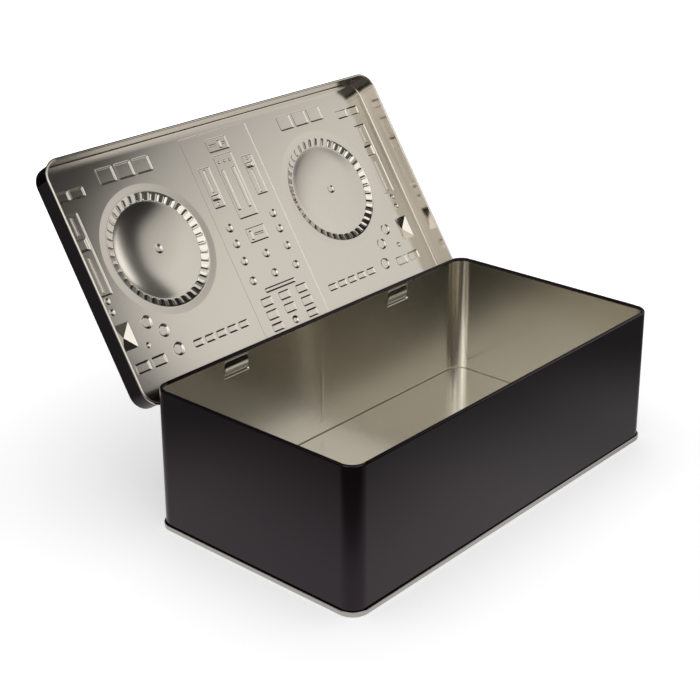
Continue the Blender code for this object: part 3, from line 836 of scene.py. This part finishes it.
class Stamping:
    """Outlines and pressed profiles of the figure in the lid, in the closed lid's plane.

    A stamp is a list of loops, each pressed a little further, with the stamps inside the last loop.
    """

    def __init__(self, size, relief):
        self.size = size
        self.relief = relief

    def box(self, shares, inset, corner):
        u, w, half_u, half_w = (s * self.size for s in shares)
        a = half_u - inset
        b = half_w - inset
        radius = max(min(corner - inset, PAD_CORNER_SHARE * a, PAD_CORNER_SHARE * b), PAD_CORNER_LEAST)
        points = []
        for k, (su, sw) in enumerate(CORNER_SIGNS):
            middle = (u + su * (a - radius), w + sw * (b - radius))
            points += arc(middle, radius, QUARTER * k, QUARTER * (k + 1), PAD_CORNER_STEPS)
        return points

    def round(self, place, radius, steps):
        u, w = (s * self.size for s in place)
        return arc((u, w), radius, 0, 2 * math.pi, steps)[:-1]

    def press(self, outline, depth, half_size, ease=1):
        """Loops of a pressed wall, soft at its foot and shoulder, with a flat strip on each side."""
        run = self.relief.draft * ease * abs(depth)
        fit = min(1, WALL_ROOM_SHARE * half_size / (run + self.relief.flat))
        reach = run * fit
        low = WALL_OUTSIDE_SHARE * reach
        strip = self.relief.flat * fit
        rows = [(-low - strip, 0)]
        for k in range(PRESS_STEPS + 1):
            rows.append((-low + reach * k / PRESS_STEPS, depth * soft(k / PRESS_STEPS, 0, 1)))
        rows.append((reach - low + strip, depth))
        return [[(u, w, height) for u, w in outline(inset)] for inset, height in rows]

    def box_stamp(self, shares, depth, inner=()):
        corner = self.relief.corner
        half_size = min(shares[2:]) * self.size
        return self.press(lambda inset: self.box(shares, inset, corner), depth, half_size), inner

    def round_stamp(self, place, radius_share, depth, steps=KNOB_STEPS):
        half = radius_share * self.size
        return self.press(lambda inset: self.round(place, half - inset, steps), depth, half, KNOB_EASE), ()

    def facet_stamp(self):
        tip = (*FACET_SHARES[:2], FACET_TIP_SHARE, FACET_TIP_SHARE)
        loops = []
        for t in FACET_ROW_SHARES:
            up = max(t, 0)
            shares = [a + (b - a) * t for a, b in zip(FACET_SHARES, tip)]
            corner = self.relief.corner * (1 - up) * FACET_CORNER_SHARE + FACET_CORNER_LEAST
            loops.append([(u, w, self.relief.facet * up) for u, w in self.box(shares, 0, corner)])
        return loops, ()

    def ring(self, radius_share, depth, steps):
        outline = self.round(PLATTER_PLACE_SHARES, radius_share * self.size, steps)
        return [(u, w, depth) for u, w in outline]

    def platter_stamp(self):
        """Margin, flank for the ridges, a dish that crowns back up, and a spindle."""
        relief = self.relief
        steps = RIDGE_STEPS * relief.ridge_count
        margin = []
        for t, eased in MARGIN_ROW_SHARES:
            radius = PLATTER_MARGIN_SHARE + (PLATTER_SHOULDER_SHARE - PLATTER_MARGIN_SHARE) * t
            margin.append(self.ring(radius, relief.margin * eased, MARGIN_STEPS))
        flank = []
        for t in FLANK_ROW_SHARES:
            radius = PLATTER_OUTER_SHARE + (PLATTER_INNER_SHARE - PLATTER_OUTER_SHARE) * t
            flank.append(self.ring(radius, relief.platter * min(max(t, 0), 1), steps))
        dish = []
        for k in range(DISH_RINGS):
            t = 1 - (1 - DISH_EYE_SHARE) * k / (DISH_RINGS - 1)
            dish.append(self.ring(DISH_EDGE_SHARE * t, -relief.crown * (1 - t ** 3), steps // 2))
        spindle = self.round_stamp(PLATTER_PLACE_SHARES, SPINDLE_SHARE, relief.knob)
        return margin, [(flank, [(dish, [spindle])])]

    def fader(self, frame, cap, rails):
        """A frame with a cap in it and rails beside the cap."""
        inner = [self.box_stamp(cap, self.relief.cap)]
        inner += [self.box_stamp(shares, -self.relief.frame) for shares in rails]
        return self.box_stamp(frame, self.relief.frame, inner)

    def deck(self):
        relief = self.relief
        pads = DECK_PAD_SHARES + tuple((u, CUE_ROW_SHARE, *CUE_PAD_HALF_SHARES) for u in CUE_PAD_SHARES)
        features = [self.platter_stamp(), self.facet_stamp()]
        features += [self.box_stamp(shares, relief.pad) for shares in pads]
        features += [self.round_stamp(shares[:2], shares[2], relief.knob) for shares in DECK_KNOB_SHARES]
        features.append(self.fader(PITCH_FRAME_SHARES, PITCH_CAP_SHARES, PITCH_RAIL_SHARES))
        return features

    def channel(self, side, cap):
        u = side * CHANNEL_PLACE_SHARE
        middle, half_u, half_w = CHANNEL_FRAME_SHARES
        cap_u, cap_w = CHANNEL_CAP_SHARES
        clear = CHANNEL_CLEAR_SHARE
        rails = []
        for start, end in ((middle - half_w, cap - cap_w), (cap + cap_w, middle + half_w)):
            rails.append((u, (start + end) / 2, CHANNEL_RAIL_SHARE, (end - start) / 2 - clear))
        return self.fader((u, middle, half_u, half_w), (u, cap, cap_u, cap_w), rails)

    def strip(self):
        relief = self.relief
        features = [self.channel(side, cap) for side, cap in zip((-1, 1), CHANNEL_CAP_PLACE_SHARES)]
        meter = [self.box_stamp(shares, relief.frame) for shares in METER_SLOT_SHARES]
        meter += [self.round_stamp(u, METER_DOT_SHARE, relief.frame, DOT_STEPS) for u in METER_DOT_SHARES]
        features.append(self.box_stamp(METER_FRAME_SHARES, relief.frame, meter))
        features.append(self.fader(MASTER_FRAME_SHARES, MASTER_CAP_SHARES, MASTER_RAIL_SHARES))
        features.append(self.fader(CROSS_FRAME_SHARES, CROSS_CAP_SHARES, CROSS_RAIL_SHARES))
        for w, columns in STRIP_KNOB_ROW_SHARES:
            for column in columns:
                place = (STRIP_KNOB_PLACE_SHARES[column], w)
                features.append(self.round_stamp(place, STRIP_KNOB_SHARE, relief.knob))
        features.append(self.box_stamp(STRIP_BAR_SHARES, relief.pad))
        for w, half_w in STRIP_PAD_ROW_SHARES:
            for u in STRIP_PAD_COLUMN_SHARES:
                if (u, w) == ROUND_PAD_SHARES:
                    features.append(self.round_stamp((u, w), half_w, relief.pad))
                else:
                    features.append(self.box_stamp((u, w, STRIP_PAD_HALF_SHARE, half_w), relief.pad))
        return features


def mirrored(feature):
    loops, inner = feature
    return [[(-u, w, d) for u, w, d in loop] for loop in loops], [mirrored(f) for f in inner]


def ring_area(ring):
    return sum(a.co.x * b.co.y - b.co.x * a.co.y for a, b in zip(ring, ring[1:] + ring[:1]))


def fill_sheet(bm, outer, holes):
    """Covers the flat sheet inside the outer ring and outside the holes."""
    verts = []
    faces = []
    for ring in [outer] + holes:
        if ring_area(ring) < 0:
            ring = ring[::-1]
        faces.append(list(range(len(verts), len(verts) + len(ring))))
        verts += ring
    found = delaunay_2d_cdt([v.co.xy for v in verts], [], faces, 1, FILL_TOLERANCE)
    _, _, corners, sources, _, owners = found
    for triangle, owner in zip(corners, owners):
        if owner == [0]:
            bm.faces.new([verts[sources[corner][0]] for corner in triangle])


def stamp(bm, outer, centre_y, level, features):
    """Fills the sheet inside the outer ring, with each feature pressed out of it."""
    holes = []
    for loops, inner in features:
        before = None
        for loop in loops:
            current = make_ring(bm, [(u, centre_y - w, level + depth) for u, w, depth in loop])
            if before:
                loft(bm, before, current)
            else:
                holes.append(current)
            before = current
        stamp(bm, before, centre_y, level + loops[-1][0][2], inner)
    fill_sheet(bm, outer, holes)


RIDGE_INPUTS = ("Geometry", "Ridges", "Depth", "Across", "Along", "Inner", "Outer")
GROOVE_REACH = (0.85, 0.0)
RIDGE_FADE_REACHES = ((-0.02, 0.10), (0.97, 0.80))


def ridge_tree():
    """Geometry nodes that press the grooves between the ridges into both platters' flanks."""
    tree, given, results = make_group("Platter ridges", "GeometryNodeTree", RIDGE_INPUTS, ("Geometry",))
    x, y, _ = split(Wire(tree.nodes.new("GeometryNodeInputPosition").outputs[0]))
    across = x.math("ABSOLUTE") - given["Across"]
    along = y - given["Along"]
    phase = along.math("ARCTAN2", across) * (given["Ridges"] * 0.5)
    groove = smooth_ramp(phase.math("SINE").math("ABSOLUTE"), GROOVE_REACH)
    flank = (distance(across, along) - given["Inner"]) / (given["Outer"] - given["Inner"])
    fade_in, fade_out = (smooth_ramp(flank, ends) for ends in RIDGE_FADE_REACHES)
    offset = add_node(tree, "ShaderNodeCombineXYZ", Z=groove * (fade_in * fade_out) * given["Depth"])
    move = add_node(
        tree, "GeometryNodeSetPosition", Geometry=given["Geometry"], Offset=Wire(offset.outputs[0])
    )
    whole = add_node(tree, "GeometryNodeRealizeInstances", Geometry=Wire(move.outputs[0]))
    paint = add_node(
        tree, "GeometryNodeSetMaterial", Geometry=Wire(whole.outputs[0]), Material=lacquer_material()
    )
    feed(Wire(paint.outputs[0]), results["Geometry"])
    return tree


def apply_tree(piece, tree, values):
    """Runs a geometry tree on a piece and keeps the result as its mesh."""
    modifier = piece.modifiers.new(tree.name, "NODES")
    modifier.node_group = tree
    for item in tree.interface.items_tree:
        if item.item_type == "SOCKET" and item.in_out == "INPUT" and item.name in values:
            modifier[item.identifier] = values[item.name]
    graph = bpy.context.evaluated_depsgraph_get()
    mesh = bpy.data.meshes.new_from_object(piece.evaluated_get(graph))
    piece.modifiers.remove(modifier)
    old = piece.data
    piece.data = mesh
    bpy.data.meshes.remove(old)


BEAD_STEPS = 20
SKIRT_ROW_SHARES = (0.03, 0.1, 0.5, 0.9, 0.97)
BORDER_STEPS = 8
SKIRT_FOOT = 0.00001


def lid_section(lid, half, top):
    """Rolled edge, skirt, bend and the border that rises to the panel."""
    roll = lid.bead - half
    bend = lid.bend
    section = arc((-half + roll, 0), roll, QUARTER, -math.pi, BEAD_STEPS)
    section += [(-half, (top - bend) * s) for s in SKIRT_ROW_SHARES]
    section += arc((-half - bend, top - bend), bend, 0, QUARTER, BEND_STEPS)
    for k in range(1, BORDER_STEPS + 1):
        t = k / BORDER_STEPS
        rise = lid.border_rise * (1 - math.cos(math.pi * t)) / 2
        section.append((-half - bend - (lid.border - bend) * t, top + rise))
    return section


class TIN_OT_lid(bpy.types.Operator):
    """Make the lid: rolled edge, skirt with its slots and the stamped panel, turned open"""
    bl_idname = "tin.make_lid"
    bl_label = "Lid"

    def execute(self, context):
        body = context.scene.tin_body
        lid = context.scene.tin_lid
        hinge = context.scene.tin_hinge
        relief = context.scene.tin_relief
        finish = context.scene.tin_finish
        half = body.sheet / 2
        hang = lid.skirt_gap + body.sheet
        long_side = body.length + 2 * hang
        short_side = body.width + 2 * hang
        centre_y = body_middle_y - hinge_y
        top = body.height + lid.rest_gap + half - hinge_z
        section = lid_section(lid, half, top)
        bm = bmesh.new()
        rings = sweep_round(bm, long_side, short_side, body.corner + hang, centre_y, section)
        skirt = wall_faces(bm, centre_y + short_side / 2 - half, half, SKIRT_FOOT, top - lid.bend)
        half_slot = hinge.width / 2 + hinge.slot_gap
        low = hinge.slot_foot
        cut_openings(bm, skirt, hinge.spread, half_slot, low, low + hinge.slot_height)
        inset = lid.border + half
        reaches = zip((long_side / 2 - inset, short_side / 2 - inset), FIGURE_REACH_SHARES)
        size = min(room / reach for room, reach in reaches)
        figure = Stamping(size, relief)
        deck = figure.deck()
        features = deck + [mirrored(f) for f in deck]
        features.append(figure.box_stamp(STRIP_SHARES, relief.strip, figure.strip()))
        stamp(bm, rings[-1], centre_y, top + lid.border_rise, features)
        face_up(bm, (0, centre_y, top), (0, 0, 1))
        inside = tinplate_material("tinplate_lid", finish.lid_plate, finish.lid_rough, LID_MARKS)
        piece = put_mesh("tin_lid", bm, (lacquer_material(), inside, inside))
        values = {
            "Ridges": float(relief.ridge_count),
            "Depth": relief.ridge,
            "Across": PLATTER_PLACE_SHARES[0] * size,
            "Along": centre_y - PLATTER_PLACE_SHARES[1] * size,
            "Inner": PLATTER_INNER_SHARE * size,
            "Outer": PLATTER_OUTER_SHARE * size,
        }
        apply_tree(piece, ridge_tree(), values)
        turn = Matrix.Translation((0, hinge_y, hinge_z)) @ Matrix.Rotation(-open_angle, 4, "X")
        piece.data.transform(turn)
        give_gauge(piece, body.sheet)
        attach(piece, "lid")
        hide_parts("lid")
        return {"FINISHED"}


CAMERA_PLACE = (-0.69856, -0.55721, 0.48064)
CAMERA_RIGHT = (0.674798, -0.737895, -0.012637)
CAMERA_UP = (0.274363, 0.234933, 0.932487)
CAMERA_SETTINGS = {
    "sensor_width": 36,
    "lens": 79.387,
    "shift_x": 0.05524,
    "shift_y": -0.09313,
    "clip_start": 0.01,
}
LAMP_SETTINGS = {"shape": "RECTANGLE", "size": 1.6, "size_y": 1.4, "energy": 9}
LAMP_PLACE = (0.05, 0.0, 1.45)

LEFT_FRONT = Vector((-0.75, -1.49, 0))
CARD_CORNER = Vector((0.42, -0.55, 0))
RIGHT_END = Vector((1.0, 0.30, 0))
BACK_END = Vector((0.0, 1.15, 0))
REAR_LEFT = Vector((-0.9, 0.75, 0))
WALL_HEIGHT = 1.5
UP = Vector((0, 0, WALL_HEIGHT))
ROOF_CORNER = Vector((-0.75, -1.5, WALL_HEIGHT))
ROOF_LENGTH = Vector((2.0, 0, 0))
ROOF_WIDTH = Vector((0, 2.6, 0))
CARD_TINT = (1, 0.985, 0.96)

FLOOR_HALF_SIZE = 4
FLOOR_ROUGHNESS = 0.9
FRONT_LEFT = Vector((-0.78, -0.62))
POOL_REACH = (0.0, 0.17)
FRONT_SHADE_REACH = (0.19, 0.27)
RIGHT_FADE_REACH = (0.0, 0.16)
LIFT_REACH = (0.2, 0.9)
MIRRORED_TONE_SHARE = 0.3

# Light on the cards, in metres along each one and up it. A reach is where a smooth step starts and ends, a
# band is a step up and a step down, and a fall is the share that goes over a reach.
SIDE_LEAN_FOOT = 0.58
SIDE_LEAN = 0.7
SIDE_START_REACH = (-0.06, 0.05)
SIDE_TOP_FALLS = ((0.36, 0.50, 0.70), (0.64, 0.665, 0.765))
SIDE_LENGTH_FALLS = ((0.10, 0.1, 0.5), (0.78, 0.54, 0.66))
SIDE_CORNER_SHARE = 0.5
SIDE_CORNER_BAND = (0.43, 0.52, 0.6, 0.7)
SIDE_CORNER_RISE = (0.40, 0.52)
FRONT_LEAN_PLACE = 0.29
FRONT_LEAN = 0.25
FRONT_START_REACH = (-0.04, 0.06)
FRONT_FOOT = 0.52
FRONT_FOOT_DROP = 0.12
FRONT_DROP_REACH = (0.15, 0.35)
FRONT_RISE = 0.10
FRONT_BASE = 0.09
LEFT_FAR_REACH = (1.0, 1.2)
LEFT_END_REACH = (1.42, 1.6)
LEFT_LIT_REACH = (0.52, 0.72)
LEFT_OVERHEAD_REACH = (0.70, 0.84)
LEFT_FOOT = 0.28
LEFT_FOOT_RISE = 0.15
LEFT_FOOT_REACH = (-0.06, 0.04)
LEFT_HEAD = 1.05
LEFT_HEAD_DROP = 0.33
LEFT_HEAD_RISE = 0.9
LEFT_HEAD_REACH = (-0.05, 0.07)
LEFT_FADE_SHARES = (0.35, 0.17)
LEFT_FADE_REACH = (1.33, 1.45)
LEFT_OVER_SHARE = 0.75
LEFT_OVER_END = (1.30, 1.42)
LEFT_OVER_RISE = (0.71, 0.80)
LEFT_BEHIND_LEVEL = 0.5
LEFT_BEHIND_REACH = (0.12, 0.30)
ROOF_SLOPE = Vector((0.6, 0.8))
ROOF_LEVEL = 0.85
ROOF_REACH = (-0.9, 0.6)
BACK_LEVEL = 0.3
BACK_REACH = (0.5, 0.7)
BACK_BAND = (0.3, 0.5, 0.7, 0.85)
REAR_LEVEL = 0.38
REAR_REACH = (0.55, 0.75)
REAR_BAND = (0.48, 0.56, 0.76, 0.86)


def fade(value, low, high):
    """Smooth step from 1 at the low value to 0 at the high one."""
    return 1 - soft(value, low, high)


def band(value, start, full, fall, end):
    """Smooth step up, and down again further on."""
    return soft(value, start, full) * fade(value, fall, end)


def falls(value, steps):
    """1, less the share of each smooth step that the value has passed."""
    return 1 - sum(part * soft(value, low, high) for part, low, high in steps)


def side_level(studio, s, z):
    """Pale at the right of the tin, darker upwards and towards its far end."""
    lit = soft(s - max(0, z - SIDE_LEAN_FOOT) * SIDE_LEAN, *SIDE_START_REACH) * falls(z, SIDE_TOP_FALLS)
    near, far = (falls(s, [step]) for step in SIDE_LENGTH_FALLS)
    corner = 1 - SIDE_CORNER_SHARE * band(s, *SIDE_CORNER_BAND) * soft(z, *SIDE_CORNER_RISE)
    return studio.flag + (studio.side_card * near - studio.flag) * lit * corner * far


def front_level(studio, s, z):
    """A softbox over a dark foot, its end next to the side card leaning."""
    s = (CARD_CORNER - LEFT_FRONT).length - s
    foot = FRONT_FOOT - FRONT_FOOT_DROP * soft(s, *FRONT_DROP_REACH)
    lit = soft(s - FRONT_LEAN_PLACE + z * FRONT_LEAN, *FRONT_START_REACH) * soft(z, foot, foot + FRONT_RISE)
    return FRONT_BASE + (studio.front_box - FRONT_BASE) * lit


def left_level(studio, s, z):
    """A card with a lit band that steps down and dims towards the camera, and a dim patch behind."""
    far = soft(s, *LEFT_FAR_REACH)
    foot = LEFT_FOOT + LEFT_FOOT_RISE * far
    head = LEFT_HEAD - LEFT_HEAD_DROP * far + LEFT_HEAD_RISE * soft(s, *LEFT_END_REACH)
    side = max(soft(s, *LEFT_LIT_REACH), soft(z, *LEFT_OVERHEAD_REACH))
    lit = side * soft(z - foot, *LEFT_FOOT_REACH) * fade(z - head, *LEFT_HEAD_REACH)
    lit *= 1 - LEFT_FADE_SHARES[0] * far - LEFT_FADE_SHARES[1] * soft(s, *LEFT_FADE_REACH)
    over = far * fade(s, *LEFT_OVER_END) * soft(z, *LEFT_OVER_RISE)
    behind = LEFT_BEHIND_LEVEL * fade(s, *LEFT_BEHIND_REACH) * band(z, *REAR_BAND)
    return studio.flag + studio.left_card * (lit + LEFT_OVER_SHARE * over) + behind


def roof_level(studio, s, z):
    """Palest over the camera, dark at the far right."""
    place = ROOF_SLOPE.x * (s + LEFT_FRONT.x) + ROOF_SLOPE.y * (z + LEFT_FRONT.y)
    return studio.flag + ROOF_LEVEL * fade(place, *ROOF_REACH)


def back_level(studio, s, z):
    """Dark behind the lid, with a faint patch at the right."""
    return studio.flag + BACK_LEVEL * fade(s, *BACK_REACH) * band(z, *BACK_BAND)


def rear_level(studio, s, z):
    """Dark behind the lid at the left, with a faint band at its outer end."""
    return studio.flag + REAR_LEVEL * soft(s, *REAR_REACH) * band(z, *REAR_BAND)


CARDS = (
    ("side_card", CARD_CORNER, RIGHT_END - CARD_CORNER, UP, side_level, (60, 80)),
    ("front_softbox", LEFT_FRONT, CARD_CORNER - LEFT_FRONT, UP, front_level, (80, 80)),
    ("top_card", ROOF_CORNER, ROOF_LENGTH, ROOF_WIDTH, roof_level, (30, 40)),
    ("back_flag", RIGHT_END, BACK_END - RIGHT_END, UP, back_level, (40, 40)),
    ("rear_flag", BACK_END, REAR_LEFT - BACK_END, UP, rear_level, (40, 40)),
    ("left_card", REAR_LEFT, LEFT_FRONT - REAR_LEFT, UP, left_level, (80, 60)),
)


def ray_kinds(tree):
    """Wires that are 1 for what the camera sees, and for what the metal mirrors."""
    ray = tree.nodes.new("ShaderNodeLightPath").outputs
    seen = Wire(ray["Is Camera Ray"]).math("MAXIMUM", Wire(ray["Is Transmission Ray"]))
    return seen, Wire(ray["Is Glossy Ray"])


class TIN_OT_stage(bpy.types.Operator):
    """Set the pale floor, the surround, the cards that the metal mirrors, the lamp and the camera"""
    bl_idname = "tin.make_stage"
    bl_label = "Stage"

    def execute(self, context):
        studio = context.scene.tin_studio
        self.make_floor(context.scene.tin_body, studio)
        self.make_surround(context.scene, studio)
        for card in CARDS:
            self.make_card(studio, *card)
        self.make_lamp()
        self.make_camera(context.scene)
        return {"FINISHED"}

    def make_floor(self, body, studio):
        """White to the camera, with the shadow kept; the metal mirrors a pool of light round the tin."""
        bm = bmesh.new()
        bmesh.ops.create_grid(bm, x_segments=1, y_segments=1, size=FLOOR_HALF_SIZE)
        material, tree, shader = start_material("pale_floor")
        x, y, _ = split(Wire(tree.nodes.new("ShaderNodeTexCoord").outputs["Object"]))
        y = y - body_middle_y
        beside = (x.math("ABSOLUTE") - body.length / 2, y.math("ABSOLUTE") - body.width / 2)
        away = distance(*(value.math("MAXIMUM", 0) for value in beside))
        front = x * FRONT_LEFT.x + y * FRONT_LEFT.y
        pool = smooth_ramp(away, POOL_REACH, (1, studio.pool_edge))
        pool = pool * smooth_ramp(front, FRONT_SHADE_REACH, (1, studio.front_shade))
        pool = pool * smooth_ramp(x, RIGHT_FADE_REACH, (1, studio.right_fade))
        lift = smooth_ramp(distance(x, y), LIFT_REACH, (studio.floor_lift, 1))
        seen, mirrored = ray_kinds(tree)
        tone = (pool * MIRRORED_TONE_SHARE - 1) * mirrored + 1
        feed(scaled(studio.floor, tone), shader.inputs["Base Color"])
        feed(seen * lift + mirrored * (pool * studio.pool), shader.inputs["Emission Strength"])
        feed((1, 1, 1, 1), shader.inputs["Emission Color"])
        feed(FLOOR_ROUGHNESS, shader.inputs["Roughness"])
        feed(0, shader.inputs["Specular IOR Level"])
        put_mesh("pale_floor", bm, (material,))

    def make_surround(self, scene, studio):
        """White to the camera and to what the metal mirrors; everything else gets a plain level."""
        scene.world = bpy.data.worlds.new("studio_surround")
        scene.world.use_nodes = True
        tree = scene.world.node_tree
        tree.nodes.clear()
        seen, mirrored = ray_kinds(tree)
        level = seen.math("MAXIMUM", mirrored) * (1 - studio.surround) + studio.surround
        backdrop = add_node(tree, "ShaderNodeBackground", Color=(1, 1, 1, 1), Strength=level)
        add_node(tree, "ShaderNodeOutputWorld", Surface=Wire(backdrop.outputs[0]))

    def make_card(self, studio, name, origin, along, up, level_at, steps):
        """A card that only the metal and the lacquer mirror, lit by a level at each place on it."""
        bm = bmesh.new()
        glow = bm.verts.layers.float_color.new("glow")
        rows = []
        for j in range(steps[1] + 1):
            row = []
            for i in range(steps[0] + 1):
                s = i / steps[0]
                t = j / steps[1]
                vert = bm.verts.new(origin + along * s + up * t)
                value = level_at(studio, along.length * s, up.length * t)
                vert[glow] = (*(value * tint for tint in CARD_TINT), 1)
                row.append(vert)
            rows.append(row)
        for low, high in zip(rows, rows[1:]):
            for i in range(steps[0]):
                bm.faces.new((low[i], low[i + 1], high[i + 1], high[i]))
        material, tree, _ = start_material(name)
        tree.nodes.clear()
        read = tree.nodes.new("ShaderNodeAttribute")
        read.attribute_name = "glow"
        light = add_node(tree, "ShaderNodeEmission", Color=Wire(read.outputs["Color"]))
        add_node(tree, "ShaderNodeOutputMaterial", Surface=Wire(light.outputs[0]))
        card = put_mesh(name, bm, (material,))
        card.visible_camera = False
        card.visible_shadow = False
        card.visible_diffuse = False

    def make_lamp(self):
        light = bpy.data.lights.new("ceiling_softbox", "AREA")
        for key, value in LAMP_SETTINGS.items():
            setattr(light, key, value)
        lamp = put_item("ceiling_softbox", light)
        lamp.location = LAMP_PLACE
        lamp.visible_glossy = False

    def make_camera(self, scene):
        camera = bpy.data.cameras.new("camera")
        for key, value in CAMERA_SETTINGS.items():
            setattr(camera, key, value)
        right = Vector(CAMERA_RIGHT).normalized()
        back = right.cross(Vector(CAMERA_UP)).normalized()
        turn = Matrix((right, back.cross(right), back)).transposed().to_4x4()
        place = Vector(CAMERA_PLACE) + Vector((0, body_middle_y, 0))
        scene.camera = put_item("camera", camera)
        scene.camera.matrix_world = Matrix.Translation(place) @ turn
        scene.view_settings.view_transform = "Standard"


class TIN_PT_panel(bpy.types.Panel):
    """Lists the tin's sizes and the operators that make its pieces"""
    bl_idname = "TIN_PT_panel"
    bl_label = "Open hinged tin"
    bl_space_type = "VIEW_3D"
    bl_region_type = "UI"
    bl_category = "Tin"

    def draw(self, context):
        layout = self.layout
        for operator in (TIN_OT_body, TIN_OT_bottom, TIN_OT_lid, TIN_OT_stage):
            layout.operator(operator.bl_idname)
        for name in GROUPS:
            box = layout.box()
            group = getattr(context.scene, name)
            for key in group.bl_rna.properties.keys():
                if key not in ("rna_type", "name"):
                    box.prop(group, key)


GROUPS = {
    "tin_body": TinBodySizes,
    "tin_bottom": TinBottomSizes,
    "tin_lid": TinLidSizes,
    "tin_hinge": TinHingeSizes,
    "tin_relief": TinReliefSizes,
    "tin_finish": TinFinish,
    "tin_studio": TinStudio,
}
CLASSES = (*GROUPS.values(), TIN_OT_body, TIN_OT_bottom, TIN_OT_lid, TIN_OT_stage, TIN_PT_panel)


def register():
    for item in CLASSES:
        bpy.utils.register_class(item)
    for name, group in GROUPS.items():
        setattr(bpy.types.Scene, name, bpy.props.PointerProperty(type=group))


def unregister():
    for name in GROUPS:
        delattr(bpy.types.Scene, name)
    for item in reversed(CLASSES):
        bpy.utils.unregister_class(item)


def main():
    register()
    bpy.ops.tin.make_body()
    bpy.ops.tin.make_bottom()
    bpy.ops.tin.make_lid()
    bpy.ops.tin.make_stage()


if __name__ == "__main__":
    main()
